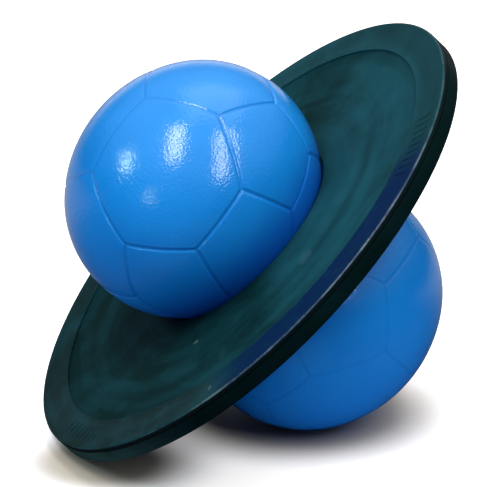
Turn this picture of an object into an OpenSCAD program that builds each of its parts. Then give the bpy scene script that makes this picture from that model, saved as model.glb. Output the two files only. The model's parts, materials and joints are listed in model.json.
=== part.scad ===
// Hopper ball: an inflated ball with two lobes, gripped at its waist by a round platform.
// It lies as it rests on a floor, leaning on its lower lobe and on the platform's edge.
// The origin is on the floor, below the middle of the platform. +Z is up.
// Pieces are drawn upright, with the platform's middle at the origin, then leaned over by at_rest().

/* [Platform] */
// Diameter of the platform over its rim
platform_d = 400; // [380:1:430]
// Height of the platform's outer edge, from the rim's top to the base's foot
rim_h = 16; // [14:0.5:20]
// Width of the raised flat band round the platform's edge
rim_w = 26.5; // [20:0.5:32]
// Height of the step from the tread's slope up to the raised band
rim_step = 1.5; // [1:0.1:2]
// Width of the tread's outer ring, which slopes up to that step
slope_w = 47.5; // [40:0.5:60]
// Rise of the sloping ring above the tread's flat middle
slope_h = 1.5; // [0.5:0.1:2]
// Thickness of the deck's top plate
deck_t = 4; // [3:0.1:4.5]
// Rounding of the platform's outer corners
edge_round = 2; // [1:0.1:2.5]
// Thickness of the base's outer wall
wall_t = 3.6; // [3:0.1:5]
// Thickness of the base's floor plate
floor_t = 3; // [2:0.1:3.2]
// Height of the open joint line between the deck and the base
joint_h = 0.8; // [0.4:0.1:1.2]
// Width of the deck's collar beside the ball, measured at the tread
collar_w = 8; // [6:0.5:12]
// Width of the bevel on the collar's edge, where the upper lobe bulges over the tread
mouth_bevel = 2; // [1.5:0.1:3]
// Depth of the base's collar below the ball's waist
collar_depth = 14; // [12:0.5:18]
// Thickness of the base's ring round the deck's collar
socket_t = 3.2; // [2.4:0.1:5]

/* [Ribs] */
// Number of radial ribs under the base
rib_count = 24; // [16:8:32]
// Thickness of the radial ribs
rib_t = 2.4; // [1.6:0.1:3.2]
// Distance from the circle of screws in to the ring rib under the base
ring_rib_gap = 14; // [10:0.5:36]

/* [Grip marks] */
// Number of groups of raised marks on the rim
mark_groups = 3; // [0:1:4]
// Number of marks in a group
marks_per_group = 9; // [3:1:12]
// Length of a mark along the radius
mark_l = 12; // [6:0.5:15]
// Width of a mark
mark_w = 1.4; // [0.8:0.1:2.5]
// Height of a mark above the rim
mark_h = 0.3; // [0.2:0.1:0.8]

/* [Screws] */
// Number of screws that hold the base to the deck
screw_count = 8; // [4:4:8]
// Distance of the screws' axes from the platform's edge
screw_inset = 42; // [34:0.5:60]
// Diameter of a screw's shank
screw_d = 3.8; // [3:0.1:4.5]
// Diameter of a screw's head
screw_head_d = 8; // [7:0.1:9]
// Height of a screw's head
screw_head_h = 2.4; // [1.8:0.1:2.8]
// Thickness of a screw boss round the head
boss_wall = 2.2; // [1.6:0.1:3]

/* [Ball] */
// Greatest diameter of a lobe
lobe_d = 193; // [188:0.5:198]
// How much flatter a lobe is at each pole than a sphere of that diameter
lobe_flat = 8; // [5:0.5:10]
// Diameter of the notch between the two lobes, before its groove is rounded
notch_d = 131.5; // [120:0.5:145]
// Thickness of the ball's skin
skin_t = 3; // [2:0.1:4]
// How far the ball's waist lies below the middle of the platform's edge
waist_drop = 8; // [7:0.1:9]
// Radius of the round groove that runs about the ball's waist
waist_round = 5; // [4:0.1:6]

/* [Valve] */
// Direction of the valve about the ball's axis, as the ball is turned in the platform at rest
valve_turn = 94; // [80:1:100]
// Diameter of the valve seat where it fills the ball's skin
seat_d = 22; // [20:0.5:24]
// Diameter of the seat's flange inside the ball
flange_d = 32; // [28:0.5:36]
// Thickness of the seat's flange
flange_t = 2; // [1.5:0.1:3]
// Length of the valve seat along its axis
seat_l = 15; // [13:0.5:18]
// Diameter of the plug's head
plug_head_d = 14; // [12:0.1:15]
// Thickness of the plug's head
plug_head_t = 2.4; // [2:0.1:3]
// Diameter of the plug's stem
plug_stem_d = 6; // [5:0.1:7]
// Length of the plug's stem
plug_stem_l = 13.5; // [12:0.5:16]

/* [Fits] */
// Running gap between the ball and the platform's collars
turn_gap = 0.3; // [0.2:0.05:0.4]
// Radial gap round the plug's stem and round each screw in the deck
shank_gap = 0.05; // [0.02:0.01:0.1]
// Gap round the plug's head, round a screw's head and between the collar and its ring
head_gap = 0.4; // [0.3:0.05:0.6]

/* [Hidden] */
$fn = 96;

// Length by which a cut runs past the surface that it leaves
overrun = 1;
full_turn = 360;

// Lobe: the meridian is a four-centre oval, with a side arc and two cap arcs that meet without a corner
side_share = 0.95;
lobe_r = lobe_d / 2;
pole_r = lobe_r - lobe_flat;
side_r = pole_r * side_share;
side_x = lobe_r - side_r;
cap_r = (side_x * side_x + pole_r * pole_r - side_r * side_r) / (2 * (pole_r - side_r));
cap_y = cap_r - pole_r;
cap_angle = atan2(side_x, cap_y);
waist_y = -waist_drop;
notch_reach = notch_d / 2 - side_x;
lobe_offset = sqrt(side_r * side_r - notch_reach * notch_reach);
upper_y = waist_y + lobe_offset;
lower_y = waist_y - lobe_offset;

// Waist groove: a round channel that touches the side arcs of both lobes without a corner
groove_reach = side_r + waist_round;
groove_x = side_x + sqrt(groove_reach * groove_reach - lobe_offset * lobe_offset);
neck_share = 1 - waist_round / groove_reach;
neck_x = side_x + (groove_x - side_x) * neck_share;

// Platform levels, from its middle, and radii
platform_r = platform_d / 2;
rim_top = rim_h / 2;
foot_y = -rim_h / 2;
step_y = rim_top - rim_step;
tread_y = step_y - slope_h;
deck_under_y = tread_y - deck_t;
rim_under_y = rim_top - deck_t;
rim_inner_r = platform_r - rim_w;
slope_r = rim_inner_r - slope_w;
tread_rise = tread_y - upper_y;
mouth_r = side_x + sqrt(side_r * side_r - tread_rise * tread_rise);
collar_r = mouth_r + collar_w;
socket_r = collar_r + socket_t;
wall_inner_r = platform_r - wall_t;
floor_top = deck_under_y - floor_t;
floor_under = floor_top - floor_t;
collar_foot = waist_y - collar_depth;
bead_x = groove_x - waist_round;
tongue_t = wall_t;

// Bevel on the collar's edge, a shallow cone that starts on the tread
bevel_angle = 30;
bevel_start_r = mouth_r + turn_gap + mouth_bevel;
bevel_cut = 3 * mouth_bevel;

// Ribs under the base
rib_low_inner = collar_foot + rib_t;
rib_low_outer = foot_y + edge_round;
screw_r = platform_r - screw_inset;
ring_rib_r = screw_r - ring_rib_gap;
ring_share = (ring_rib_r - socket_r) / (wall_inner_r - socket_r);
ring_low = rib_low_inner + (rib_low_outer - rib_low_inner) * ring_share;

// Screws
boss_r = screw_head_d / 2 + head_gap + boss_wall;
boss_foot = floor_under - screw_head_h - head_gap;
shank_top = tread_y - deck_t / 2;
pilot_top = shank_top + head_gap;
slot_share = 0.6;
slot_w = screw_d / 4;
slot_l = screw_head_d * slot_share;
slot_depth = screw_head_h / 2;
post_r = boss_r - boss_wall / 2;

// Low rings that hold the deck up off the base's floor, half-way from the posts to the collar and to the wall
support_inner_r = (socket_r + screw_r - post_r) / 2;
support_outer_r = (wall_inner_r - tongue_t + screw_r + post_r) / 2;

// Grip marks
mark_first = -50;
mark_step = 2.2;

// Valve, tilted from the ball's axis until its flange's edge comes to the end of the cap arc
inner_cap_r = cap_r - skin_t;
valve_tilt = cap_angle - asin(flange_d / 2 / inner_cap_r);

// Valve levels, measured outwards along its own axis from the cap arc's centre
seat_top = sqrt(cap_r * cap_r - seat_d * seat_d / 4);
flange_top = sqrt(inner_cap_r * inner_cap_r - flange_d * flange_d / 4);
recess_floor = seat_top - plug_head_t;
plug_grip_w = plug_head_d / 5;
plug_grip_l = plug_head_d * slot_share;
plug_grip_depth = plug_head_t / 3;
plug_taper_l = plug_stem_l / 5;
plug_tip_share = 0.7;
plug_tip_d = plug_stem_d * plug_tip_share;
valve_y = upper_y - cap_y;

// Lean: the floor touches the lower lobe and the foot of the platform's outer edge
edge_x = platform_r - edge_round;
edge_y = rim_h / 2 - edge_round;
lobe_drop = -lower_y;
lean_side = asin((side_r - edge_round) / norm([edge_x - side_x, lobe_drop - edge_y]))
    + atan2(lobe_drop - edge_y, edge_x - side_x);
cap_drop = lobe_drop - cap_y;
lean_cap = asin((cap_r - edge_round) / norm([edge_x, cap_drop - edge_y]))
    + atan2(cap_drop - edge_y, edge_x);
lean = lean_side > cap_angle ? lean_side : lean_cap;
rest_height = edge_x * sin(lean) + edge_y * cos(lean) + edge_round;

// Puts what is drawn upright into its resting place on the floor
module at_rest() {
    translate([0, 0, rest_height]) rotate([0, -lean, 0]) children();
}

// Rectangle in a meridian plane, given by its corners
module band(x0, x1, y0, y1) {
    translate([x0, y0]) square([x1 - x0, y1 - y0]);
}

// Round of the platform's outer corner about the given level, kept between two other levels
module corner(level, y0, y1) {
    intersection() {
        translate([platform_r - edge_round, level]) circle(edge_round);
        band(wall_inner_r, platform_r, y0, y1);
    }
}

// Half meridian of one lobe about the origin, made larger or smaller by grow
module lobe_profile(grow) {
    reach = 2 * cap_r;
    for (flip = [0, 1]) mirror([0, flip]) translate([0, -cap_y]) intersection() {
        circle(cap_r + grow);
        polygon([[0, 0], [reach * sin(cap_angle), reach * cos(cap_angle)], [0, reach]]);
    }
    intersection() {
        translate([side_x, 0]) circle(side_r + grow);
        band(0, reach, -reach, reach);
    }
}

// Half meridian of both lobes, with no neck
module lobes_profile(grow) {
    translate([0, upper_y]) lobe_profile(grow);
    translate([0, lower_y]) lobe_profile(grow);
}

// Half meridian of the whole ball with its waist groove, grown by a gap
module ball_profile(gap) {
    lobes_profile(gap);
    difference() {
        band(0, neck_x + gap, waist_y - waist_round, waist_y + waist_round);
        translate([groove_x, waist_y]) circle(waist_round - gap);
    }
}

// Puts the ball's own pieces into their resting place, turned in the platform
module ball_at_rest() {
    at_rest() rotate([0, 0, valve_turn]) children();
}

// Places what is drawn along +Z on the valve's axis, from the cap arc's centre
module on_valve_axis() {
    translate([0, 0, valve_y]) rotate([0, valve_tilt, 0]) children();
}

// Hollow skin of the ball: both lobes and the waist are one moulding
module ball() {
    color([0.08, 0.42, 0.88]) ball_at_rest() difference() {
        rotate_extrude() difference() {
            ball_profile(0);
            lobes_profile(-skin_t);
        }
        on_valve_axis() translate([0, 0, cap_r - seat_l]) cylinder(h = seat_l + overrun, d = seat_d);
    }
}

// Bush that closes the hole in the skin, with a recess for the plug's head and a flange inside
module valve_seat() {
    color([0.07, 0.36, 0.76]) ball_at_rest() on_valve_axis() difference() {
        union() {
            translate([0, 0, seat_top - seat_l]) cylinder(h = seat_l, d = seat_d);
            translate([0, 0, flange_top - flange_t]) cylinder(h = flange_t, d = flange_d);
        }
        translate([0, 0, recess_floor]) cylinder(h = plug_head_t + overrun, d = plug_head_d + 2 * head_gap);
        translate([0, 0, seat_top - seat_l - overrun])
            cylinder(h = seat_l + overrun, d = plug_stem_d + 2 * shank_gap);
    }
}

// Stopper that seals the seat: a flat head with a moulded grip bar, and a stem with a tapered tip
module inflation_plug() {
    stem_foot = recess_floor - plug_stem_l;
    color([0.9, 0.9, 0.88]) ball_at_rest() on_valve_axis() {
        difference() {
            translate([0, 0, recess_floor]) cylinder(h = plug_head_t, d = plug_head_d);
            for (side = [-1, 1]) translate([0, side * plug_grip_w, seat_top])
                cube([plug_grip_l, plug_grip_w, 2 * plug_grip_depth], center = true);
        }
        translate([0, 0, stem_foot + plug_taper_l])
            cylinder(h = plug_stem_l - plug_taper_l + plug_head_t / 2, d = plug_stem_d);
        translate([0, 0, stem_foot]) cylinder(h = plug_taper_l, d1 = plug_tip_d, d2 = plug_stem_d);
    }
}

// Meridian of the deck before the ball's space is cut from it
module deck_section() {
    band(bead_x, collar_r, waist_y, tread_y);
    polygon([
        [bead_x, deck_under_y], [bead_x, tread_y], [slope_r, tread_y], [rim_inner_r, step_y],
        [rim_inner_r + deck_t, step_y], [rim_inner_r + deck_t, deck_under_y]
    ]);
    band(rim_inner_r, platform_r - edge_round, rim_under_y, rim_top);
    band(rim_inner_r, platform_r, rim_under_y, rim_top - edge_round);
    corner(rim_top - edge_round, rim_under_y, rim_top);
}

// Groups of short raised marks on the rim, along the radius
module grip_marks() {
    mark_mid = platform_r - rim_w / 2;
    for (group = [0 : 1 : mark_groups - 1]) for (i = [0 : 1 : marks_per_group - 1])
        rotate([0, 0, mark_first + group * full_turn / mark_groups + i * mark_step])
            translate([mark_mid - mark_l / 2, -mark_w / 2, rim_top - mark_h])
                cube([mark_l, mark_w, 2 * mark_h]);
}

// Top moulding: raised rim, sunken tread, collar against the upper lobe and posts for the screws
module deck() {
    color([0.07, 0.27, 0.3]) at_rest() difference() {
        union() {
            rotate_extrude() difference() {
                deck_section();
                ball_profile(turn_gap);
                translate([bevel_start_r, tread_y]) rotate(bevel_angle) band(-bevel_cut, bevel_cut, 0, bevel_cut);
            }
            grip_marks();
            for (i = [0 : screw_count - 1]) rotate([0, 0, screw_angle(i)])
                translate([screw_r, 0, floor_top]) cylinder(h = deck_under_y - floor_top + deck_t / 2, r = post_r);
        }
        for (i = [0 : screw_count - 1]) rotate([0, 0, screw_angle(i)])
            translate([screw_r, 0, floor_top - overrun])
                cylinder(h = pilot_top - floor_top + overrun, d = screw_d + 2 * shank_gap);
    }
}

// Direction of a screw, mid-way between two ribs
function screw_angle(i) = (i * rib_count / screw_count + 0.5) * full_turn / rib_count;

// Meridian of the base before the ball's space is cut from it
module base_section() {
    wall_top = rim_under_y - joint_h;
    band(bead_x, socket_r, collar_foot, waist_y);
    band(collar_r + head_gap, socket_r, waist_y, floor_top);
    band(collar_r + head_gap, wall_inner_r, floor_under, floor_top);
    band(wall_inner_r, platform_r - edge_round, foot_y, wall_top);
    band(wall_inner_r, platform_r, foot_y + edge_round, wall_top);
    corner(foot_y + edge_round, foot_y, wall_top);
    band(wall_inner_r - tongue_t, wall_inner_r, floor_under, rim_under_y);
    band(ring_rib_r - rib_t / 2, ring_rib_r + rib_t / 2, ring_low, floor_under);
    for (r = [support_inner_r, support_outer_r])
        band(r - rib_t / 2, r + rib_t / 2, floor_top, deck_under_y);
}

// One rib under the base, deep at the collar and shallow at the outer wall
module radial_rib() {
    outer = wall_inner_r + wall_t / 3;
    rotate([90, 0, 0]) translate([0, 0, -rib_t / 2]) linear_extrude(rib_t) polygon([
        [socket_r - socket_t / 2, floor_under + floor_t / 2],
        [outer, floor_under + floor_t / 2],
        [outer, rib_low_outer],
        [socket_r - socket_t / 2, rib_low_inner]
    ]);
}

// Bottom moulding: outer wall, floor with ribs, collar against the lower lobe and screw bosses
module base() {
    color([0.05, 0.21, 0.24]) at_rest() difference() {
        union() {
            rotate_extrude() difference() {
                base_section();
                ball_profile(turn_gap);
            }
            for (i = [0 : rib_count - 1]) rotate([0, 0, i * full_turn / rib_count]) radial_rib();
            for (i = [0 : screw_count - 1]) rotate([0, 0, screw_angle(i)])
                translate([screw_r, 0, boss_foot]) cylinder(h = floor_under - boss_foot + floor_t / 2, r = boss_r);
        }
        for (i = [0 : screw_count - 1]) rotate([0, 0, screw_angle(i)]) translate([screw_r, 0, 0]) {
            translate([0, 0, boss_foot - overrun])
                cylinder(h = floor_under - boss_foot + overrun, d = screw_head_d + 2 * head_gap);
            translate([0, 0, floor_under - overrun])
                cylinder(h = floor_t + 2 * overrun, d = screw_d + 2 * head_gap);
        }
    }
}

// One screw, head down, with a cross in its head
module base_screw() {
    head_foot = floor_under - screw_head_h;
    difference() {
        union() {
            translate([0, 0, head_foot]) cylinder(h = screw_head_h, d = screw_head_d);
            translate([0, 0, floor_under - screw_head_h / 2])
                cylinder(h = shank_top - floor_under + screw_head_h / 2, d = screw_d);
        }
        for (turn = [0, 90]) rotate([0, 0, turn]) translate([0, 0, head_foot])
            cube([slot_l, slot_w, 2 * slot_depth], center = true);
    }
}

// The screws that hold the base to the deck
module base_screws() {
    color([0.6, 0.61, 0.63]) at_rest()
        for (i = [0 : screw_count - 1]) rotate([0, 0, screw_angle(i)]) translate([screw_r, 0, 0]) base_screw();
}

ball();
valve_seat();
inflation_plug();
deck();
base();
base_screws();
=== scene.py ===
import json
import math

import bmesh
import bpy
import numpy as np
from mathutils import Matrix, Vector


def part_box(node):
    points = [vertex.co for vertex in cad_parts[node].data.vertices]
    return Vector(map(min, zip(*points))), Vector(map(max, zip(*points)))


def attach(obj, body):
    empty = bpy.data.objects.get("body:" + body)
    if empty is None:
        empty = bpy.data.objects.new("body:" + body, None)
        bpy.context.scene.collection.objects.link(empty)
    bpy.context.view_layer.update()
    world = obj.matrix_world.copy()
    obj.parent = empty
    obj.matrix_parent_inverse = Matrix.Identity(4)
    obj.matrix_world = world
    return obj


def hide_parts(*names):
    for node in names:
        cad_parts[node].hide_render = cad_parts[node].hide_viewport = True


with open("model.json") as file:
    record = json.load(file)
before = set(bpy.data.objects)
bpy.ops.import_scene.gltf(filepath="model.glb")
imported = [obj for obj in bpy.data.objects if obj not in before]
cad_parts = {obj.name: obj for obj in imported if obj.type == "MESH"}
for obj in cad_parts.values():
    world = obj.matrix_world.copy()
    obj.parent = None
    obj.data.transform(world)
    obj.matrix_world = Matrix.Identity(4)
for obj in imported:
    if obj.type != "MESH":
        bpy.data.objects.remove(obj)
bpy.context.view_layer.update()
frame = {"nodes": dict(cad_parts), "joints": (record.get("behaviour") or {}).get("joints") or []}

MM = 0.001

# The toy's own upright frame, from the joint that the ball turns about: +Z is its axis, +Y is level
JOINTS = {joint["name"]: joint for joint in frame["joints"]}
AXIS = Vector(JOINTS["ball_turn"]["axis"]).normalized()
LEVEL = Vector((0, 1, 0))
TO_ROW = Matrix((LEVEL.cross(AXIS).normalized(), LEVEL, AXIS)).transposed().to_4x4()
TO_ROW.translation = Vector(JOINTS["ball_turn"]["pos_m"])
TO_TOY = TO_ROW.inverted()

# Ball, in millimetres, as in the part: each lobe's meridian is a four-centre oval
LOBE_R, LOBE_FLAT, SIDE_SHARE = 96.5, 8.0, 0.95
WAIST_Z, LOBE_OFFSET, WAIST_ROUND, SKIN = -8.0, 65.0, 5.0, 3.0
POLE_R = LOBE_R - LOBE_FLAT
SIDE_R = POLE_R * SIDE_SHARE
SIDE_X = LOBE_R - SIDE_R
CAP_R = (SIDE_X ** 2 + POLE_R ** 2 - SIDE_R ** 2) / (2 * (POLE_R - SIDE_R))
CAP_Z = CAP_R - POLE_R
CAP_ANGLE = math.atan2(SIDE_X, CAP_Z)
# The waist's rounding: its centre's distance from the axis, and the angle where a lobe meets it
WAIST_X = SIDE_X + math.sqrt((SIDE_R + WAIST_ROUND) ** 2 - LOBE_OFFSET ** 2)
WAIST_MEET = math.atan2(LOBE_OFFSET, WAIST_X - SIDE_X)
# The waist's plain mesh reaches this far up and down. The grooves fade in between these distances
# beyond it
NECK_HALF, NECK_FADE = 9.5, (0.2, 3.5)
# Radius of the valve seat's hole, and the length and points of the shape that cuts it
SEAT_R, CUTTER_LENGTH, CUTTER_POINTS = 11.0, 60.0, 96

# Corners of the moulded panels on each lobe, as angle from the upper pole and direction, in degrees
UPPER_CORNERS = [
    (150, 162), (143, -81), (172, -1), (40, 47), (20.5, -40), (31, -138), (127, -115.5),
    (89.5, -103), (68, -128.5), (95, -146), (127, -145.5), (114.5, -60.5), (58, -47), (85.5, -71),
    (135.5, 13), (107.5, 47.5), (74.5, 23.5), (81, -21.5), (108, -30), (60, 100), (86, 169),
    (49.5, 154), (116.5, 136.5), (99.5, 94)]
LOWER_CORNERS = [
    (30, -15), (37, -132), (8, 148), (140, 100), (159.5, -173), (149, -75), (53, -97.5),
    (90.5, -111), (109, -80), (87, -58.5), (53, -67.5), (65.5, -152.5), (122, -166), (92, -139),
    (44.5, 134), (72.5, 99.5), (105.5, 123.5), (99, 168.5), (72, 177), (120, 47), (94, -22),
    (130.5, -7), (63.5, 10.5), (80.5, 53)]
# Each panel's corners in order, on either lobe
PANELS = [
    (4, 5, 8, 7, 13, 12), (11, 18, 17, 12, 13), (1, 11, 13, 7, 6), (6, 10, 9, 8, 7),
    (5, 8, 9, 20, 21), (3, 19, 21, 5, 4), (3, 16, 17, 12, 4), (19, 23, 22, 20, 21),
    (3, 19, 23, 15, 16), (14, 18, 17, 16, 15), (0, 2, 1, 6, 10), (0, 2, 14, 15, 23, 22),
    (1, 2, 14, 18, 11), (0, 10, 9, 20, 22)]
# Places of the panel grid's lines from a corner to the middle of an edge, closer near the grooves
GRID = np.array([0, .35, .7, 1.05, 1.4, 1.8, 2.3, 3, 4, 5.5, 7.5, 10, 13, 16, 19, 22, 25, 28]) / 28
# Panel grooves and the panels' slight crown, in millimetres, and the share of a groove that is flat
GROOVE_DEPTH, GROOVE_HALF, GROOVE_FLAT = 0.8, 2.1, 0.15
PILLOW_DEPTH, PILLOW_REACH = 0.35, 9.0
# The grooves are worn near the poles: they keep a share there, and gain between these angles from a
# pole. On the lower lobe they are fainter
WORN_FROM, WORN_TO, WORN_SHARE, LOWER_SHARE = 22, 78, 0.35, 0.3
# Points of a lobe nearer its centre than this share of its radius are on the inner skin
OUTSIDE_SHARE = 0.975

# Points round the waist and the inner skin, and steps along their meridians
NECK_POINTS, SIDE_STEPS, WAIST_STEPS = 192, 6, 5
INNER_POINTS, INNER_STEPS, INNER_POLE_RISE = 96, 39, 0.1
# Distances in millimetres at which points are welded, and at which they count as on a cut
WELD, ON_PLANE = 0.01, 0.001
SMOOTH_ANGLE = math.radians(35)


def link(name, data):
    obj = bpy.data.objects.new(name, data)
    bpy.context.scene.collection.objects.link(obj)
    return obj


def mesh_from(bm, name):
    mesh = bpy.data.meshes.new(name)
    bm.to_mesh(mesh)
    bm.free()
    return mesh


def merge(bm, part, place=Matrix()):
    """Adds a part that was built on its own, moved to its place."""
    mesh = mesh_from(part, "part")
    mesh.transform(place)
    bm.from_mesh(mesh)
    bpy.data.meshes.remove(mesh)


def smooth(mesh):
    mesh.polygons.foreach_set("use_smooth", [True] * len(mesh.polygons))
    mesh.set_sharp_from_angle(angle=SMOOTH_ANGLE)


def steps(start, end, count):
    """Equal steps from a start, which is left out, to an end."""
    return np.linspace(start, end, count + 1)[1:]


def ramp(x, low, high):
    t = np.clip((x - low) / (high - low), 0, 1)
    return t * t * (3 - 2 * t)


def unit(v):
    return v / np.linalg.norm(v)


def lobe_radius(polar, grow=0.0):
    """Distance from a lobe's centre to its skin, at angles from its axis."""
    c, s = np.abs(np.cos(polar)), np.sin(polar)
    cap = np.sqrt((CAP_R + grow) ** 2 - (CAP_Z * s) ** 2) - CAP_Z * c
    side = SIDE_X * s + np.sqrt((SIDE_R + grow) ** 2 - (SIDE_X * c) ** 2)
    return np.where(np.arctan2(cap * s, cap * c + CAP_Z) <= CAP_ANGLE, cap, side)


def directions(corners):
    """Unit vectors of corners, on the sphere that stands for a lobe."""
    p, a = np.radians(np.array(corners, float)).T
    return np.stack([np.sin(p) * np.cos(a), np.sin(p) * np.sin(a), np.cos(p)], 1)


def groove_distance(u, corners):
    """Distance in millimetres from points of the unit sphere to the nearest groove."""
    ends = directions(corners)
    edges = {tuple(sorted(edge)) for panel in PANELS for edge in zip(panel, panel[1:] + panel[:1])}
    best = np.full(len(u), np.inf)
    for i, j in sorted(edges):
        a, b = ends[i], ends[j]
        n = unit(np.cross(a, b))
        off = np.abs(np.arcsin(np.clip(u @ n, -1, 1)))
        tip = np.arccos(np.clip(np.maximum(u @ a, u @ b), -1, 1))
        beside = (u @ np.cross(n, a) > 0) & (u @ np.cross(b, n) > 0)
        best = np.minimum(best, np.where(beside, off, tip))
    return best * (LOBE_R + POLE_R) / 2


def groove_depth(distance):
    """Depth below the lobe's plain oval: the groove, and the panel's fall towards it."""
    channel = GROOVE_DEPTH * (1 - ramp(distance, GROOVE_FLAT * GROOVE_HALF, GROOVE_HALF))
    return channel + PILLOW_DEPTH * np.exp(-(distance / PILLOW_REACH) ** 2)


def groove_share(polar, side):
    """How much of the full depth the grooves keep, at angles from the upper pole."""
    from_pole = np.degrees(np.where(side > 0, polar, np.pi - polar))
    share = WORN_SHARE + (1 - WORN_SHARE) * ramp(from_pole, WORN_FROM, WORN_TO)
    return share * (1 if side > 0 else LOWER_SHARE)


def lobe_points(u, side, corners):
    """Points of the grooved skin for unit vectors about a lobe's centre."""
    p = u * (LOBE_R, LOBE_R, POLE_R)
    p /= np.linalg.norm(p, axis=1)[:, None]
    polar = np.arccos(np.clip(p[:, 2], -1, 1))
    r = lobe_radius(polar)
    centre_z = WAIST_Z + side * LOBE_OFFSET
    from_waist = np.abs(centre_z + p[:, 2] * r - WAIST_Z)
    fade = ramp(from_waist, *(NECK_HALF + reach for reach in NECK_FADE))
    r = r - groove_depth(groove_distance(u, corners)) * groove_share(polar, side) * fade
    return p * r[:, None] + (0, 0, centre_z)


def panel_grid(corners):
    """Vertices on the unit sphere, and quads: a square grid for each corner of each panel."""
    ends = directions(corners)
    n = len(GRID)
    s, t = GRID[:, None, None], GRID[None, :, None]
    quads = [(i * n + j, (i + 1) * n + j, (i + 1) * n + j + 1, i * n + j + 1)
             for i in range(n - 1) for j in range(n - 1)]
    verts, faces = [], []
    for panel in PANELS:
        middle = unit(ends[list(panel)].sum(0))
        for k, corner in enumerate(panel):
            p = ends[corner]
            q, r = (unit((p + ends[panel[(k + way) % len(panel)]]) / 2) for way in (1, -1))
            grid = (1 - s) * (1 - t) * p + s * (1 - t) * q + (1 - s) * t * r + s * t * middle
            grid = grid.reshape(-1, 3)
            faces += [[len(verts) + v for v in quad] for quad in quads]
            verts += list(grid / np.linalg.norm(grid, axis=1)[:, None])
    return np.array(verts), faces


def add_lobe(bm, corners, side):
    """Adds a lobe, cut off near the waist, and gives the edge of the cut as vertices in order."""
    u, faces = panel_grid(corners)
    part = bmesh.new()
    verts = [part.verts.new(p) for p in lobe_points(u, side, corners)]
    for face in faces:
        part.faces.new([verts[i] for i in face])
    bmesh.ops.remove_doubles(part, verts=part.verts, dist=WELD)
    bmesh.ops.bisect_plane(
        part, geom=part.verts[:] + part.edges[:] + part.faces[:], dist=ON_PLANE,
        plane_co=(0, 0, WAIST_Z + side * NECK_HALF), plane_no=(0, 0, -side), clear_outer=True)
    before = len(bm.verts)
    merge(bm, part)
    bm.verts.ensure_lookup_table()
    rim = [v for v in bm.verts[before:] if v.is_boundary]
    return sorted(rim, key=lambda v: math.atan2(v.co.y, v.co.x))


def add_ring(bm, radius, z, count):
    return [bm.verts.new((radius * math.cos(a), radius * math.sin(a), z))
            for a in (-math.pi + 2 * math.pi * (i + 0.5) / count for i in range(count))]


def zip_rings(bm, one, two):
    """Joins two rings of vertices, each in order of direction, by triangles."""
    def turn(ring, i):
        v = ring[i % len(ring)].co
        return math.atan2(v.y, v.x) + 2 * math.pi * (i // len(ring))
    i = j = 0
    while i < len(one) or j < len(two):
        a, b = one[i % len(one)], two[j % len(two)]
        if j >= len(two) or (i < len(one) and turn(one, i + 1) < turn(two, j + 1)):
            bm.faces.new((a, b, one[(i + 1) % len(one)]))
            i += 1
        else:
            bm.faces.new((a, b, two[(j + 1) % len(two)]))
            j += 1


def both_lobes(half):
    """A meridian that comes down to the waist, carried on to its mirror image below it."""
    return [(x, WAIST_Z + z) for x, z in half] + [(x, WAIST_Z - z) for x, z in half[-2::-1]]


def neck_profile():
    """Meridian of the waist from one cut to the other, as radius and height."""
    start = math.asin((LOBE_OFFSET - NECK_HALF) / SIDE_R)
    half = [(SIDE_X + SIDE_R * math.cos(a), LOBE_OFFSET - SIDE_R * math.sin(a))
            for a in steps(start, WAIST_MEET, SIDE_STEPS)]
    half += [(WAIST_X - WAIST_ROUND * math.cos(a), WAIST_ROUND * math.sin(a))
             for a in steps(WAIST_MEET, 0, WAIST_STEPS)]
    return both_lobes(half)


def inner_skin():
    """Closed surface of the air space, seen from inside the skin."""
    bm = bmesh.new()
    waist_r = SIDE_X + math.sqrt((SIDE_R - SKIN) ** 2 - LOBE_OFFSET ** 2)
    reach = math.pi - math.acos(LOBE_OFFSET / math.hypot(LOBE_OFFSET, waist_r))
    polar = steps(0, reach, INNER_STEPS)
    r = lobe_radius(polar, -SKIN)
    profile = both_lobes(list(zip(r * np.sin(polar), LOBE_OFFSET + r * np.cos(polar))))
    rings = [add_ring(bm, x, z, INNER_POINTS) for x, z in profile]
    for a, b in zip(rings, rings[1:]):
        for i in range(INNER_POINTS):
            j = (i + 1) % INNER_POINTS
            bm.faces.new((a[i], b[i], b[j], a[j]))
    for end, rise in ((0, INNER_POLE_RISE), (-1, -INNER_POLE_RISE)):
        ring, pole = rings[end], bm.verts.new((0, 0, profile[end][1] + rise))
        for i in range(INNER_POINTS):
            bm.faces.new((ring[i], ring[(i + 1) % INNER_POINTS], pole))
    bmesh.ops.recalc_face_normals(bm, faces=bm.faces)
    bmesh.ops.reverse_faces(bm, faces=bm.faces)
    return bm


def ball_mesh():
    """The ball's skin in its own frame, in millimetres: grooved outside, smooth inside."""
    bm = bmesh.new()
    top = add_lobe(bm, UPPER_CORNERS, 1)
    bottom = add_lobe(bm, LOWER_CORNERS, -1)
    rings = [add_ring(bm, x, z, NECK_POINTS) for x, z in neck_profile()]
    rings = [top] + rings[:-1] + [bottom]
    for a, b in zip(rings, rings[1:]):
        zip_rings(bm, a, b)
    bmesh.ops.recalc_face_normals(bm, faces=bm.faces)
    merge(bm, inner_skin())
    return mesh_from(bm, "ball_skin")


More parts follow.
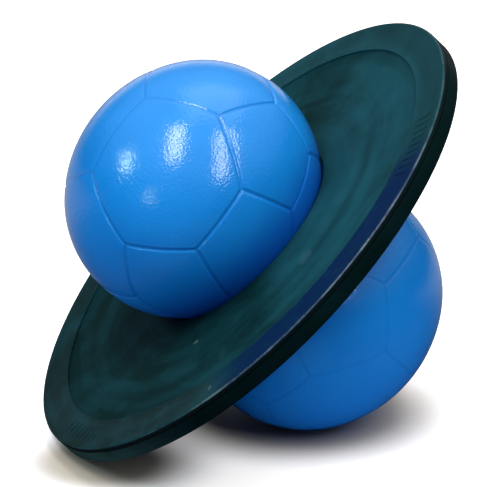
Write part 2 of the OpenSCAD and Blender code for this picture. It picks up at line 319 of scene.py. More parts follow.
def cut_valve_hole(obj):
    """Cuts the round hole that the valve seat fills, along the plug's own axis."""
    low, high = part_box("valve_seat")
    axis = Vector(JOINTS["plug_pull"]["axis"]).normalized()
    bm = bmesh.new()
    bmesh.ops.create_cone(bm, cap_ends=True, segments=CUTTER_POINTS, radius1=SEAT_R * MM,
                          radius2=SEAT_R * MM, depth=CUTTER_LENGTH * MM)
    cutter = link("cutter", mesh_from(bm, "cutter"))
    turn = axis.to_track_quat("Z", "Y").to_matrix().to_4x4()
    cutter.matrix_world = Matrix.Translation((low + high) / 2) @ turn
    mod = obj.modifiers.new("hole", "BOOLEAN")
    mod.operation, mod.solver, mod.object = "DIFFERENCE", "EXACT", cutter
    bpy.context.view_layer.update()
    seen = obj.evaluated_get(bpy.context.evaluated_depsgraph_get())
    done = bpy.data.meshes.new_from_object(seen)
    obj.modifiers.clear()
    obj.data = done
    bpy.data.objects.remove(cutter)


def mark_grooves(mesh):
    """Stores how deep each point lies in a groove, from 0 to 1, for the ball's material."""
    co = np.zeros(len(mesh.vertices) * 3)
    mesh.vertices.foreach_get("co", co)
    toy = np.array(TO_TOY)
    p = (co.reshape(-1, 3) @ toy[:3, :3].T + toy[:3, 3]) / MM
    value = np.zeros(len(p))
    for corners, side in ((UPPER_CORNERS, 1), (LOWER_CORNERS, -1)):
        mine = (p[:, 2] - WAIST_Z) * side > 0
        q = (p[mine] - (0, 0, WAIST_Z + side * LOBE_OFFSET)) / (LOBE_R, LOBE_R, POLE_R)
        length = np.linalg.norm(q, axis=1)
        near = ramp(groove_distance(q / length[:, None], corners), GROOVE_HALF, 0)
        value[mine] = near * (length > OUTSIDE_SHARE)
    attribute = mesh.attributes.new("groove", "FLOAT", "POINT")
    attribute.data.foreach_set("value", value.astype(np.float32))


def make_ball():
    mesh = ball_mesh()
    mesh.transform(TO_ROW @ Matrix.Scale(MM, 4))
    obj = link("ball_skin", mesh)
    cut_valve_hole(obj)
    mark_grooves(obj.data)
    smooth(obj.data)
    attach(obj, "ball")
    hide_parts("ball")
    return obj


# Platform, in millimetres, as in the part: levels are heights over the middle of its edge
PLATFORM_R, EDGE_ROUND, WALL_T, FLOOR_T = 200.0, 2.0, 3.6, 3.0
TREAD_Z, FOOT_Z, WALL_TOP_Z, TONGUE_TOP_Z = 5.0, -8.0, 3.2, 4.0
FLOOR_TOP_Z, FLOOR_UNDER_Z, COLLAR_FOOT_Z = -2.0, -5.0, -22.0
COLLAR_W, COLLAR_GAP, SOCKET_T, TURN_GAP = 8.0, 0.4, 3.2, 0.3
RIB_COUNT, RIB_T, RING_RIB_R = 24, 2.4, 144.0
SCREW_COUNT, SCREW_R, BOSS_R, BOSS_HOLE_R, BOSS_FOOT_Z = 8, 158.0, 6.6, 4.4, -7.8
WALL_INNER_R = PLATFORM_R - WALL_T
MOUTH_R = SIDE_X + math.sqrt(SIDE_R ** 2 - (WAIST_Z + LOBE_OFFSET - TREAD_Z) ** 2)
COLLAR_R = MOUTH_R + COLLAR_W
SOCKET_R = COLLAR_R + SOCKET_T
RIB_LOW_INNER, RIB_LOW_OUTER = COLLAR_FOOT_Z + RIB_T, FOOT_Z + EDGE_ROUND
# How far joined shapes reach into each other
OVERLAP, WALL_OVERLAP = 1.0, 0.5
# Softening of the moulded edges: its size and steps, the bend of a corner that needs none, and the
# least size that is worth a step, or that fits on the edges beside it
MOULD_EDGE, EDGE_STEPS = 0.35, 2
NEARLY_STRAIGHT, LEAST_EDGE, EDGE_SHARE = math.radians(160), 0.05, 1 / 2.2
TURN_STEPS, BOSS_STEPS, ROUND_STEPS, BEAD_STEPS, COLLAR_STEPS = 264, 48, 10, 10, 12


def arc(x, z, radius, start, end, count):
    """Points of an arc in a meridian plane, between two angles in degrees."""
    return [(x + radius * math.cos(a), z + radius * math.sin(a))
            for a in np.radians(np.linspace(start, end, count + 1))]


def soften(profile):
    """Rounds every clear corner of a closed profile."""
    out = []
    count = len(profile)
    for i in range(count):
        back, here, on = (Vector(profile[(i + k) % count]) for k in (-1, 0, 1))
        one, two = back - here, on - here
        reach = min(MOULD_EDGE, one.length * EDGE_SHARE, two.length * EDGE_SHARE)
        if one.angle(two) > NEARLY_STRAIGHT or reach < LEAST_EDGE:
            out.append(tuple(here))
            continue
        a, b = here + one.normalized() * reach, here + two.normalized() * reach
        out += [tuple((1 - t) ** 2 * a + 2 * t * (1 - t) * here + t ** 2 * b)
                for t in np.linspace(0, 1, EDGE_STEPS + 1)]
    return out


def revolve(bm, profile, count=TURN_STEPS, place=Matrix()):
    """Turns a closed profile of radius and height about the axis."""
    turns = [2 * math.pi * i / count for i in range(count)]
    rings = [[bm.verts.new(place @ Vector((r * math.cos(a), r * math.sin(a), z)))
              for r, z in profile] for a in turns]
    for one, two in zip(rings, rings[1:] + rings[:1]):
        for i in range(len(profile)):
            j = (i + 1) % len(profile)
            bm.faces.new((one[i], two[i], two[j], one[j]))


def box_profile(inner, outer, low, high):
    return soften([(inner, low), (outer, low), (outer, high), (inner, high)])


def collar_profile():
    """Bead in the ball's waist and the surface that follows the lower lobe."""
    centre_z = WAIST_Z - LOBE_OFFSET
    meet = math.degrees(WAIST_MEET)
    side = SIDE_R + TURN_GAP
    foot = math.asin((COLLAR_FOOT_Z - centre_z) / side)
    foot_x = SIDE_X + side * math.cos(foot)
    outside = soften([(foot_x, COLLAR_FOOT_Z), (SOCKET_R, COLLAR_FOOT_Z), (SOCKET_R, WAIST_Z)])
    return (arc(WAIST_X, WAIST_Z, WAIST_ROUND - TURN_GAP, 180, 180 + meet, BEAD_STEPS)
            + arc(SIDE_X, centre_z, side, meet, math.degrees(foot), COLLAR_STEPS)[1:]
            + outside[EDGE_STEPS + 1:])


def wall_profile():
    """Outer wall, with the large rounding of its foot."""
    inner, round_x = WALL_INNER_R - WALL_OVERLAP, PLATFORM_R - EDGE_ROUND
    wall = soften([(inner, WALL_TOP_Z), (inner, FOOT_Z), (PLATFORM_R, FOOT_Z),
                   (PLATFORM_R, WALL_TOP_Z)])
    wall = [p for p in wall if p[0] < round_x or p[1] > 0]
    cut = next(i for i, p in enumerate(wall) if p[0] > round_x)
    wall[cut:cut] = arc(round_x, FOOT_Z + EDGE_ROUND, EDGE_ROUND, -90, 0, ROUND_STEPS)
    return wall


def ring_rib_profile():
    """Round rib under the floor, as deep as the radial ribs are where it crosses them."""
    share = (RING_RIB_R - SOCKET_R) / (WALL_INNER_R - SOCKET_R)
    low = RIB_LOW_INNER + (RIB_LOW_OUTER - RIB_LOW_INNER) * share
    return box_profile(RING_RIB_R - RIB_T / 2, RING_RIB_R + RIB_T / 2, low, FLOOR_UNDER_Z + OVERLAP)


def add_rib(bm, turn):
    """One radial rib, deep at the collar and shallow at the wall, with softened edges."""
    part = bmesh.new()
    inner, outer = SOCKET_R - SOCKET_T / 2, WALL_INNER_R + WALL_T / 3
    top = FLOOR_UNDER_Z + FLOOR_T / 2
    outline = [(inner, top), (inner, RIB_LOW_INNER), (outer, RIB_LOW_OUTER), (outer, top)]
    near, far = ([part.verts.new((x, y, z)) for x, z in outline] for y in (-RIB_T / 2, RIB_T / 2))
    part.faces.new(near)
    part.faces.new(far[::-1])
    for i in range(len(outline)):
        j = (i + 1) % len(outline)
        part.faces.new((near[j], near[i], far[i], far[j]))
    low = [e for e in part.edges if all(v.co.z < FLOOR_UNDER_Z for v in e.verts)]
    bmesh.ops.bevel(part, geom=low, offset=MOULD_EDGE, segments=EDGE_STEPS, affect="EDGES")
    merge(bm, part, Matrix.Rotation(turn, 4, "Z"))


def make_base():
    """Bottom moulding: wall, tongue, floor, collar, ribs and screw bosses."""
    bm = bmesh.new()
    for profile in (wall_profile(),
                    box_profile(WALL_INNER_R - WALL_T, WALL_INNER_R, FLOOR_UNDER_Z, TONGUE_TOP_Z),
                    box_profile(COLLAR_R + COLLAR_GAP, WALL_INNER_R, FLOOR_UNDER_Z, FLOOR_TOP_Z),
                    box_profile(COLLAR_R + COLLAR_GAP, SOCKET_R, WAIST_Z - OVERLAP, FLOOR_TOP_Z),
                    collar_profile(), ring_rib_profile()):
        revolve(bm, profile)
    for i in range(RIB_COUNT):
        add_rib(bm, 2 * math.pi * i / RIB_COUNT)
    boss = box_profile(BOSS_HOLE_R, BOSS_R, BOSS_FOOT_Z, FLOOR_UNDER_Z + OVERLAP)
    for i in range(SCREW_COUNT):
        turn = 2 * math.pi * (i * RIB_COUNT / SCREW_COUNT + 0.5) / RIB_COUNT
        place = Matrix.Rotation(turn, 4, "Z") @ Matrix.Translation((SCREW_R, 0, 0))
        revolve(bm, boss, BOSS_STEPS, place)
    bmesh.ops.recalc_face_normals(bm, faces=bm.faces)
    mesh = mesh_from(bm, "base_moulding")
    mesh.transform(TO_ROW @ Matrix.Scale(MM, 4))
    smooth(mesh)
    obj = link("base_moulding", mesh)
    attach(obj, "platform")
    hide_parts("base")
    return obj


class Nodes:
    """A shader node tree, with short ways to add and join nodes."""

    def __init__(self, tree):
        self.tree = tree

    def add(self, kind, inputs=None, **props):
        node = self.tree.nodes.new("ShaderNode" + kind)
        for key, value in props.items():
            setattr(node, key, value)
        for key, value in (inputs or {}).items():
            self.put(node, key, value)
        return node

    def put(self, node, key, value):
        socket = node.inputs[key]
        if isinstance(value, bpy.types.NodeSocket):
            self.tree.links.new(value, socket)
        elif isinstance(value, (tuple, list)) and socket.type == "RGBA" and len(value) == 3:
            socket.default_value = (*value, 1)
        else:
            socket.default_value = value

    def math(self, operation, a, b=0.0, clamp=False):
        return self.add("Math", {0: a, 1: b}, operation=operation, use_clamp=clamp).outputs[0]

    def times(self, first, *others):
        """Product of numbers."""
        for other in others:
            first = self.math("MULTIPLY", first, other)
        return first

    def vector(self, operation, *inputs):
        """A vector, or the number that a length, distance or dot product gives."""
        out = self.add("VectorMath", dict(enumerate(inputs)), operation=operation).outputs
        return out["Value" if operation in ("LENGTH", "DISTANCE", "DOT_PRODUCT") else "Vector"]

    def part(self, axis, vector):
        return self.add("SeparateXYZ", {"Vector": vector}).outputs[axis]

    def span(self, value, low, high, start=0.0, end=1.0):
        """Maps low..high smoothly to start..end."""
        inputs = {"Value": value, "From Min": low, "From Max": high, "To Min": start, "To Max": end}
        return self.add("MapRange", inputs, interpolation_type="SMOOTHSTEP").outputs["Result"]

    def mix(self, factor, a, b):
        """Mixes two colours."""
        return self.add("Mix", {0: factor, 6: a, 7: b}, data_type="RGBA").outputs[2]

    def rays(self):
        """1 for the camera's own rays, and 1 for those that a surface mirrors or lets through."""
        path = self.add("LightPath").outputs
        mirrored = self.math("MAXIMUM", path["Is Glossy Ray"], path["Is Transmission Ray"])
        return path["Is Camera Ray"], mirrored


class Shader(Nodes):
    """A material, with its places in the row's frame and in the toy's own."""

    def __init__(self, name):
        self.mat = bpy.data.materials.new(name)
        self.mat.use_nodes = True
        super().__init__(self.mat.node_tree)
        self.out = self.tree.nodes["Principled BSDF"]

    def set(self, **inputs):
        for key, value in inputs.items():
            self.put(self.out, key.replace("_", " "), value)

    def noise(self, where, scale, detail, rough=0.55, distort=0.0):
        inputs = {"Vector": where, "Scale": scale, "Detail": detail, "Roughness": rough,
                  "Distortion": distort}
        return self.add("TexNoise", inputs).outputs["Fac"]

    def clouds(self, where, scale, detail, contrast, reach=(0.0, 1.0), **kind):
        """Noise drawn out between two of its values, over a reach."""
        return self.span(self.noise(where, scale, detail, **kind), *contrast, *reach)

    def shaken(self, where, scale, detail, reach):
        """A place moved about by noise, square to the toy's axis."""
        noise = self.add("TexNoise", {"Vector": where, "Scale": scale, "Detail": detail})
        way = self.vector("SUBTRACT", noise.outputs["Color"], (0.5, 0.5, 0.5))
        return self.vector("MULTIPLY_ADD", way, (reach, reach, 0.0), where)

    def bump(self, height, strength, distance, under=None):
        inputs = {"Height": height, "Strength": strength, "Distance": distance}
        if under is not None:
            inputs["Normal"] = under
        return self.add("Bump", inputs).outputs["Normal"]

    def row(self):
        return self.add("TexCoord").outputs["Object"]

    def toy(self):
        """Place in the toy's own frame, in metres."""
        inputs = {"Location": TO_TOY.translation, "Rotation": TO_TOY.to_euler()}
        return self.add("Mapping", {"Vector": self.row(), **inputs}).outputs["Vector"]


class ToyShader(Shader):
    """A material whose layers lie by radius, height and direction about the toy's axis."""

    def __init__(self, name):
        super().__init__(name)
        self.place = self.toy()
        self.radius = self.vector("LENGTH", self.vector("MULTIPLY", self.place, (1, 1, 0)))
        self.height = self.part("Z", self.place)
        self.turn = self.math("ARCTAN2", self.part("Y", self.place), self.part("X", self.place))

    def grade(self, value, *fades):
        """Product of fades, each from 0 at one length to 1 at another, in millimetres."""
        return self.times(*(self.span(value, none * MM, full * MM) for none, full in fades))

    def sector(self, degrees, end, full):
        """1 near a direction about the axis, 0 farther from it than an angle."""
        cosine = self.math("COSINE", self.math("SUBTRACT", self.turn, math.radians(degrees)))
        return self.span(cosine, math.cos(math.radians(end)), math.cos(math.radians(full)))

    def raised(self, value, least, more):
        """A least amount, and more where a value is 1."""
        return self.math("ADD", least, self.times(value, more))


# Tones of the ball: its darker and lighter clouds, and the painted shade in a groove and near the
# waist, and the amounts of the last two
BLUE_CLOUDS = (0.0050, 0.214, 0.65), (0.0100, 0.252, 0.72)
BLUE_IN_GROOVE_SHADE, BLUE_NEAR_WAIST_SHADE = (0.001, 0.09, 0.40), (0.0003, 0.033, 0.53)
GROOVE_SHADE_AMOUNT, WAIST_SHADE_AMOUNT = 0.15, 0.6
# Distances from the waist in metres between which its painted shade fades in
WAIST_SHADE_REACH = 0.056, 0.012


def blue_vinyl():
    """Glossy soft vinyl with a leathery grain, with painted shade in the grooves and near the
    waist.
    """
    s = Shader("blue_vinyl")
    at = s.row()
    blue = s.mix(s.clouds(at, scale=9, detail=3, contrast=(0.35, 0.65)), *BLUE_CLOUDS)
    groove = s.add("Attribute", attribute_name="groove").outputs["Fac"]
    # Painted shade in the grooves
    blue = s.mix(s.times(groove, GROOVE_SHADE_AMOUNT), blue, BLUE_IN_GROOVE_SHADE)
    # Painted shade near the waist, where the platform shades the ball
    from_waist = s.math("ABSOLUTE", s.math("SUBTRACT", s.part("Z", s.toy()), WAIST_Z * MM))
    blue = s.mix(s.span(from_waist, *WAIST_SHADE_REACH, end=WAIST_SHADE_AMOUNT), blue, BLUE_NEAR_WAIST_SHADE)
    rough = s.clouds(at, scale=60, detail=5, contrast=(0.3, 0.7), reach=(0.12, 0.18))
    inputs = {"Vector": at, "Scale": 620, "Smoothness": 0.6}
    cells = s.add("TexVoronoi", inputs, feature="SMOOTH_F1")
    grain = s.bump(cells.outputs["Distance"], strength=0.26, distance=0.0005)
    grain = s.bump(s.noise(at, scale=200, detail=4), strength=0.14, distance=0.0010, under=grain)
    s.set(Base_Color=blue, Roughness=rough, Normal=grain, IOR=1.5)
    return s.mat


# Lighter and darker patches of the deck: place in the toy's frame and reach in metres, and amount
PATCHES = [
    ((0.045, -0.105), 0.075, 0.42), ((0.075, -0.070), 0.06, 0.15), ((0.095, 0.085), 0.075, -0.35),
    ((-0.045, -0.100), 0.06, -0.08), ((-0.120, 0.060), 0.08, -0.18), ((0.150, 0.020), 0.06, 0.10)]
# Pale scuffs on the deck, in the same way, each at its height
SPECKS = [
    ((-0.0713, -0.0839, 0.005), 0.0026, 0.15), ((-0.0784, -0.1703, 0.008), 0.0026, 0.15),
    ((0.0290, -0.1181, 0.005), 0.0090, 0.045)]
# Shares of their reach where a patch and a speck are full, and how far noise moves their outlines
PATCH_CORE, PATCH_SWAY, SPECK_CORE, SPECK_SWAY = 0.2, 0.09, 0.3, 0.006
# Painted light: the deck is lighter towards its upper side, between these places along that way in
# metres. Amounts of that, of the clouds and of the faint rings, and how far the rings' noise is
# stretched
UPWARD_LIGHT_REACH, UPWARD_LIGHT_AMOUNT, CLOUD_AMOUNT = (-0.16, 0.16), 0.45, 0.28
RING_AMOUNT, RING_STRETCH = (-0.09, 0.09), 55
# Rings of the deck: radii in millimetres between which each one fades in, and out again. The slope
# of the tread starts at 126 and the raised band at 173.5
CREASE_RING = (113.0, 126.2), (137.0, 126.5)
STEP_FOOT_RING, STEP_WALL_RING = ((158.0, 172.5), (173.6, 173.2)), ((173.0, 173.3), (174.2, 173.8))
SHADED_RING, NAVY_RING, POLISH_RING = (170.0, 185.0), (173.6, 175.0), (172.5, 174.5)
OUTSIDE_RING, CORNER_RING = (198.5, 199.5), (198.0, 198.7)
# Levels in the same way, with the band's top at 8
STEP_WALL_LEVEL, OUTSIDE_LEVEL, CORNER_LEVEL = (7.9, 7.7), (7.2, 6.2), ((6.6, 7.1), (8.0, 7.6))
# Sectors in degrees: middle direction, and the angles from it where each one ends and is full
CREASE_SECTOR, STEP_FOOT_SECTOR, STEP_WALL_SECTOR = (-62, 60, 15), (55, 80, 20), (55, 95, 30)
SHADED_SECTOR, NAVY_SECTOR = (-22, 62, 25), (-77, 40, 24)
CORNER_SECTOR, POLISH_SECTOR = (-82, 50, 22), (-140, 75, 35)
# Amounts of the layers. A pair is the least amount, and what the layer's sector adds to it
SCUFF_AMOUNT, FLECK_AMOUNT, CREASE_SHADE_AMOUNT, STEP_FOOT_SHADE_AMOUNT = 0.20, 0.4, 0.45, (0.12, 0.55)
STEP_WALL_LIGHT_AMOUNT, SHADED_AMOUNT, CORNER_AMOUNT = 0.75, 0.45, (0.10, 0.28)
POLISH_AMOUNT, NAVY_DULLS, DECK_ROUGHNESS = (0.12, 0.23), 0.8, (0.7, 0.4)
# Tones of the deck, among them painted shade for the crease, the step's foot and the outer side,
# painted light for the step's wall, and a painted highlight with wear for the edge
TEAL_CLOUDS = (0.0005, 0.016, 0.0175), (0.0080, 0.070, 0.094)
TEAL_SCUFF, TEAL_SPECK, TEAL_WORN_LIT_EDGE = (0.025, 0.10, 0.12), (0.30, 0.45, 0.44), (0.30, 0.44, 0.46)
TEAL_CREASE_SHADE, TEAL_STEP_WALL_LIGHT = (0.0006, 0.012, 0.014), (0.012, 0.10, 0.13)
TEAL_SHADED, TEAL_NAVY = (0.0003, 0.016, 0.0185), (0.0001, 0.012, 0.053)
TEAL_OUTSIDE_SHADE = (0.0006, 0.007, 0.008)


def clouded_teal(s):
    """Cloudy teal, with painted light towards the platform's upper side, with patches and faint
    rings.
    """
    cloud = s.clouds(s.place, scale=16, detail=7, contrast=(0.36, 0.64), rough=0.66, distort=0.6)
    # Painted light: lighter towards the platform's upper side
    lit_upwards = s.span(s.part("X", s.place), *UPWARD_LIGHT_REACH)
    faded = s.math("ADD", s.times(lit_upwards, UPWARD_LIGHT_AMOUNT), s.times(cloud, CLOUD_AMOUNT))
    swayed = s.shaken(s.place, scale=22, detail=4, reach=PATCH_SWAY)
    for (x, y), reach, amount in PATCHES:
        away = s.vector("DISTANCE", swayed, (x, y, TREAD_Z * MM))
        faded = s.math("ADD", faded, s.span(away, reach, reach * PATCH_CORE, 0.0, amount))
    around = s.vector("NORMALIZE", s.vector("MULTIPLY", s.place, (1, 1, 0)))
    outwards = s.add("CombineXYZ", {"Z": s.times(s.radius, RING_STRETCH)}).outputs[0]
    rings = s.clouds(s.vector("ADD", around, outwards), scale=1.5, detail=3, rough=0.5,
                     contrast=(0.35, 0.65), reach=RING_AMOUNT)
    return s.mix(s.math("ADD", faded, rings, clamp=True), *TEAL_CLOUDS)


def marked_teal(s, colour, scuff):
    """Adds scuffs, flecks and the pale specks."""
    fleck = s.clouds(s.place, scale=420, detail=2, contrast=(0.70, 0.76))
    colour = s.mix(s.math("MAXIMUM", scuff, s.times(fleck, FLECK_AMOUNT)), colour, TEAL_SCUFF)
    ragged = s.shaken(s.place, scale=260, detail=3, reach=SPECK_SWAY)
    for spot, reach, amount in SPECKS:
        away = s.vector("DISTANCE", ragged, spot)
        speck = s.span(away, reach, reach * SPECK_CORE, 0.0, amount)
        colour = s.mix(speck, colour, TEAL_SPECK)
    return colour


def stepped_teal(s, colour):
    """Adds painted shade in the tread's crease and at the foot of the step, and painted light on
    the step's wall.
    """
    # Painted shade in the tread's crease and at the foot of the step, strongest in their sectors
    crease = s.times(s.grade(s.radius, *CREASE_RING), s.sector(*CREASE_SECTOR), CREASE_SHADE_AMOUNT)
    foot = s.times(s.grade(s.radius, *STEP_FOOT_RING),
                   s.raised(s.sector(*STEP_FOOT_SECTOR), *STEP_FOOT_SHADE_AMOUNT))
    uneven = s.clouds(s.place, scale=25, detail=3, contrast=(0.3, 0.6), reach=(0.5, 0.9))
    colour = s.mix(s.times(s.math("MAXIMUM", crease, foot), uneven), colour, TEAL_CREASE_SHADE)
    # Painted light on the step's wall
    wall = s.times(s.grade(s.radius, *STEP_WALL_RING), s.grade(s.height, STEP_WALL_LEVEL),
                   s.sector(*STEP_WALL_SECTOR), STEP_WALL_LIGHT_AMOUNT)
    return s.mix(wall, colour, TEAL_STEP_WALL_LIGHT)


def teal_plastic():
    """Satin moulded plastic of the deck: its band is partly shaded and navy, its outer side has
    painted shade, its edge is worn and has a painted highlight.
    """
    s = ToyShader("teal_plastic")
    scuff = s.clouds(s.place, scale=60, detail=8, contrast=(0.56, 0.72), rough=0.7)
    scuff = s.times(scuff, SCUFF_AMOUNT)
    colour = stepped_teal(s, marked_teal(s, clouded_teal(s), scuff))
    shaded = s.times(s.sector(*SHADED_SECTOR), s.grade(s.radius, SHADED_RING), SHADED_AMOUNT)
    colour = s.mix(shaded, colour, TEAL_SHADED)
    uneven = s.clouds(s.place, scale=90, detail=5, contrast=(0.62, 0.5), reach=(0.75, 1.0),
                      rough=0.65)
    navy = s.times(s.sector(*NAVY_SECTOR), s.grade(s.radius, NAVY_RING), uneven)
    colour = s.mix(navy, colour, TEAL_NAVY)
    # Painted shade on the deck's outer side, as dark as the base's wall
    outside = s.times(s.grade(s.radius, OUTSIDE_RING), s.grade(s.height, OUTSIDE_LEVEL))
    colour = s.mix(outside, colour, TEAL_OUTSIDE_SHADE)
    # Wear and a painted highlight along the outer top edge, strongest in its sector
    edge = s.times(s.grade(s.height, *CORNER_LEVEL), s.grade(s.radius, CORNER_RING),
                   s.raised(s.sector(*CORNER_SECTOR), *CORNER_AMOUNT))
    worn_and_lit = s.clouds(s.place, scale=45, detail=6, contrast=(0.42, 0.62), reach=(0.15, 0.8),
                    rough=0.7)
    colour = s.mix(s.times(edge, worn_and_lit), colour, TEAL_WORN_LIT_EDGE)
    grain = s.bump(s.noise(s.place, scale=1500, detail=2), strength=0.10, distance=0.0003)
    dents = s.noise(s.place, scale=120, detail=5)
    grain = s.bump(dents, strength=0.08, distance=0.001, under=grain)
    gloss = s.raised(s.sector(*POLISH_SECTOR), *POLISH_AMOUNT)
    plain = s.math("SUBTRACT", 1.0, s.times(navy, NAVY_DULLS))
    polish = s.times(s.grade(s.radius, POLISH_RING), gloss, plain)
    s.set(Base_Color=colour, Roughness=s.raised(scuff, *DECK_ROUGHNESS), Normal=grain,
          Specular_IOR_Level=0.05, Coat_Weight=s.math("MAXIMUM", polish, edge), Coat_Roughness=0.22)
    return s.mat


# Tones of the base: its outside, which is painted shade, and its underside, each in darker and
# lighter clouds, and dust with painted bounce light
BASE_OUTSIDE_SHADE = (0.0003, 0.006, 0.0065), (0.0008, 0.010, 0.011)
BASE_UNDERSIDE = (0.0012, 0.022, 0.026), (0.0032, 0.038, 0.044)
BASE_DUST_AND_BOUNCE, DUST_AND_BOUNCE_AMOUNT = (0.030, 0.072, 0.060), 0.8
# Radii in millimetres between which the outside turns into the underside, and heights over the
# floor in metres between which the dust and the painted bounce light from the floor fade in
UNDERSIDE_RING, DUST_AND_BOUNCE_REACH = (198.5, 196.0), (0.07, 0.005)


def shaded_base_plastic():
    """Satin moulded plastic of the base, with painted shade on its outside, and dust and painted
    bounce light near the floor.
    """
    s = ToyShader("shaded_base_plastic")
    cloud = s.clouds(s.place, scale=20, detail=6, contrast=(0.3, 0.7))
    under = s.grade(s.radius, UNDERSIDE_RING)
    # Painted shade: the outside is darker than the underside
    colour = s.mix(under, s.mix(cloud, *BASE_OUTSIDE_SHADE), s.mix(cloud, *BASE_UNDERSIDE))
    uneven = s.clouds(s.place, scale=40, detail=6, contrast=(0.25, 0.6), reach=(0.4, 1.0))
    # Dust and painted bounce light from the floor, lighter near the floor
    dust_and_bounce = s.times(s.span(s.part("Z", s.row()), *DUST_AND_BOUNCE_REACH), uneven, DUST_AND_BOUNCE_AMOUNT)
    colour = s.mix(dust_and_bounce, colour, BASE_DUST_AND_BOUNCE)
    grain = s.bump(s.noise(s.place, scale=1200, detail=2), strength=0.12, distance=0.0003)
    s.set(Base_Color=colour, Roughness=s.span(cloud, 0, 1, 0.42, 0.55), Normal=grain,
          Specular_IOR_Level=0.03)
    return s.mat


def small_finish(name, place, clouds, tones, rough, grain, metallic=0.0):
    """Two tones in clouds, each with its own roughness, and a fine grain."""
    s = Shader(name)
    at = place(s)
    tone = s.clouds(at, **clouds)
    scale, strength = grain
    s.set(Base_Color=s.mix(tone, *tones), Metallic=metallic, Roughness=s.span(tone, 0, 1, *rough),
          Normal=s.bump(s.noise(at, scale, detail=3), strength, distance=0.0003))
    return s.mat


# Finishes of the small CAD nodes. The grain is a noise's scale and its strength
SMALL_FINISHES = {
    "base_screws": dict(
        name="zinc", place=Shader.toy,
        clouds=dict(scale=500, detail=4, contrast=(0.35, 0.65)),
        tones=((0.50, 0.50, 0.49), (0.66, 0.67, 0.69)), rough=(0.42, 0.28), grain=(900, 0.1),
        metallic=1.0),
    "valve_seat": dict(
        name="valve_rubber", place=Shader.row,
        clouds=dict(scale=120, detail=5, contrast=(0.3, 0.7)),
        tones=((0.008, 0.13, 0.44), (0.012, 0.17, 0.53)), rough=(0.4, 0.5), grain=(900, 0.12)),
    "inflation_plug": dict(
        name="plug_plastic", place=Shader.row,
        clouds=dict(scale=150, detail=5, contrast=(0.3, 0.7)),
        tones=((0.66, 0.65, 0.60), (0.80, 0.80, 0.77)), rough=(0.45, 0.35), grain=(1100, 0.1)),
}


def dress(node, material):
    """Gives a CAD node its finish."""
    obj = frame["nodes"][node]
    obj.data.materials.clear()
    obj.data.materials.append(material)


CAMERA_AT = Vector((-0.702286, -3.373768, 1.290883))
CAMERA_LOOK = Vector((0.19198, 0.92899, -0.31643))
CAMERA_LENS, CAMERA_SENSOR, CAMERA_CLIP = 369.6, 36, (0.1, 60)

# The lamps shine at this place. Each has a name, the way to it in the camera's axes (right, up and
# towards the camera), its distance and size in metres, watts and colour
LAMPS_AIM = Vector((0, 0, 0.2))
WHITE, CYAN = (1.0, 1.0, 1.0), (0.7, 1.0, 1.0)
LIGHTS = [
    ("left_light", (-0.870, 0.420, 0.258), 2.5, (0.165, 0.62), 8.5, CYAN),
    ("top_light", (-0.370, 0.690, 0.622), 2.5, (0.45, 1.40), 28, WHITE),
    ("front_light", (0.360, 0.520, 0.774), 2.8, (0.56, 2.20), 39, WHITE),
    ("faint_light", (-0.680, -0.01, 0.733), 2.8, (0.24, 0.28), 3.1, CYAN),
    ("overhead_light", (0.10, 0.95, 0.05), 2.2, (1.6, 1.6), 9, WHITE),
]
# Strength of the room's light, below and above, and the steepness of a ray where it starts and ends
# to grow
ROOM_LIGHT, ROOM_RISE = (0.04, 0.8), (0.1, 0.95)
# Cosines of the angle to the camera's way between which a mirrored ray comes to see the backdrop
BACKDROP_EDGE = 0.76, 0.93

# Half the floor's side in metres, its cells along a side, and its drop, which keeps it clear of the
# toy's lowest points
FLOOR_HALF, FLOOR_CELLS, FLOOR_DROP = 8, 8, 0.0003
# Floor as the camera sees it: from the left to the right of the toy, and at the contacts, where its
# tone is painted shadow
FLOOR_SEEN, SEEN_REACH = ((0.97, 0.96, 1.0), (0.99, 0.95, 0.90)), (-0.11, 0.0)
FLOOR_SHADED = (0.52, 0.47, 0.40)
FLOOR_GLOW, FLOOR_GLOW_TONE = 0.6, (1, 0.99, 0.98)
# How light the floor is to mirroring surfaces, from before the toy to behind it
FLOOR_MIRRORED, MIRRORED_REACH = (0.03, 0.37), (0.03, 0.50)
# Floor for the light that it throws back, near the toy and, weaker and bluer, far from it
FLOOR_BOUNCE, BOUNCE_REACH = ((0.60, 0.72, 0.92), (0.12, 0.19, 0.32)), (0.12, 0.45)
# Where the toy touches the floor: place, and the distances between which the floor's glow and its
# lighter tone come back, round a painted contact shadow
LOBE_CONTACT = (0.045, 0.026, 0)
CONTACTS = [((-0.115, -0.052, 0), (0.032, 0.096), (0.034, 0.074)),
            (LOBE_CONTACT, (0.066, 0.132), (0.070, 0.130))]


def make_camera():
    data = bpy.data.cameras.new("camera")
    data.lens, data.sensor_width = CAMERA_LENS, CAMERA_SENSOR
    data.clip_start, data.clip_end = CAMERA_CLIP
    obj = link("camera", data)
    turn = CAMERA_LOOK.to_track_quat("-Z", "Y").to_matrix().to_4x4()
    obj.matrix_world = Matrix.Translation(CAMERA_AT) @ turn
    bpy.context.scene.camera = obj


def softbox(name, direction, distance, size, power, colour):
    """Area light, turned so that its reflection on the ball stands upright in the picture."""
    view = bpy.context.scene.camera.matrix_world.to_3x3()
    way = Vector(direction).normalized()
    normal = (way + Vector((0, 0, 1))).normalized()
    tangent = Vector((0, normal.z, -normal.y))
    long_side = view @ (tangent.z * normal + normal.z * tangent).normalized()
    way = view @ way
    data = bpy.data.lights.new(name, "AREA")
    data.shape = "RECTANGLE"
    data.size, data.size_y = size
    data.energy, data.color = power, colour
    axes = Matrix((long_side.cross(way), long_side, way)).transposed()
    link(name, data).matrix_world = Matrix.Translation(LAMPS_AIM + way * distance) @ axes.to_4x4()


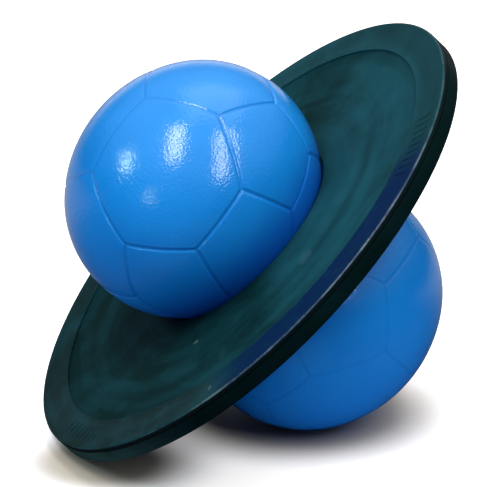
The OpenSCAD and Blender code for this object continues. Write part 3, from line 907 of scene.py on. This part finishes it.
def make_world():
    """White backdrop for the camera and for rays mirrored along its way, in a dim room."""
    world = bpy.data.worlds.new("studio")
    bpy.context.scene.world = world
    world.use_nodes = True
    s = Nodes(world.node_tree)
    way = s.add("TexCoord").outputs["Generated"]
    backdrop = s.span(s.vector("DOT_PRODUCT", way, CAMERA_LOOK), *BACKDROP_EDGE)
    camera, mirrored = s.rays()
    white = s.math("MAXIMUM", s.times(mirrored, backdrop), camera)
    room = s.span(s.part("Z", way), *ROOM_RISE, *ROOM_LIGHT)
    background = s.tree.nodes["Background"]
    s.put(background, "Strength", s.add("Mix", {0: white, 2: room, 3: 1.0}).outputs[0])
    s.put(background, "Color", WHITE)


def floor_white():
    """Keeps the toy's shadow and adds a painted shadow round its contacts, is white where it is
    lit, and darker to mirrored and thrown light.
    """
    s = Shader("floor_white")
    at = s.row()
    camera, mirrored = s.rays()
    glow, lit = FLOOR_GLOW, 1.0
    # Painted contact shadow: round each contact the glow fades out and the tone turns darker
    for spot, glow_reach, lit_reach in CONTACTS:
        away = s.vector("DISTANCE", at, spot)
        glow = s.times(glow, s.span(away, *glow_reach))
        lit = s.times(lit, s.span(away, *lit_reach))
    from_lobe = s.vector("DISTANCE", at, LOBE_CONTACT)
    thrown = s.mix(s.span(from_lobe, *BOUNCE_REACH), *FLOOR_BOUNCE)
    behind = s.vector("DOT_PRODUCT", at, (CAMERA_LOOK.x, CAMERA_LOOK.y, 0))
    unseen = s.mix(mirrored, thrown, s.span(behind, *MIRRORED_REACH, *FLOOR_MIRRORED))
    bright = s.mix(s.span(s.part("X", at), *SEEN_REACH), *FLOOR_SEEN)
    tone = s.mix(camera, unseen, s.mix(lit, FLOOR_SHADED, bright))
    s.set(Base_Color=tone, Roughness=0.9, Specular_IOR_Level=0.0, Emission_Color=FLOOR_GLOW_TONE,
          Emission_Strength=s.times(camera, glow))
    return s.mat


def make_floor():
    bm = bmesh.new()
    bmesh.ops.create_grid(bm, x_segments=FLOOR_CELLS, y_segments=FLOOR_CELLS, size=FLOOR_HALF)
    bmesh.ops.translate(bm, verts=bm.verts, vec=(0, 0, -FLOOR_DROP))
    obj = link("floor", mesh_from(bm, "floor"))
    obj.data.materials.append(floor_white())


make_camera()
ball = make_ball()
ball.data.materials.append(blue_vinyl())
base = make_base()
base.data.materials.append(shaded_base_plastic())
dress("deck", teal_plastic())
for node, finish in SMALL_FINISHES.items():
    dress(node, small_finish(**finish))

for light in LIGHTS:
    softbox(*light)
make_world()
make_floor()
bpy.context.scene.view_settings.view_transform = "Standard"
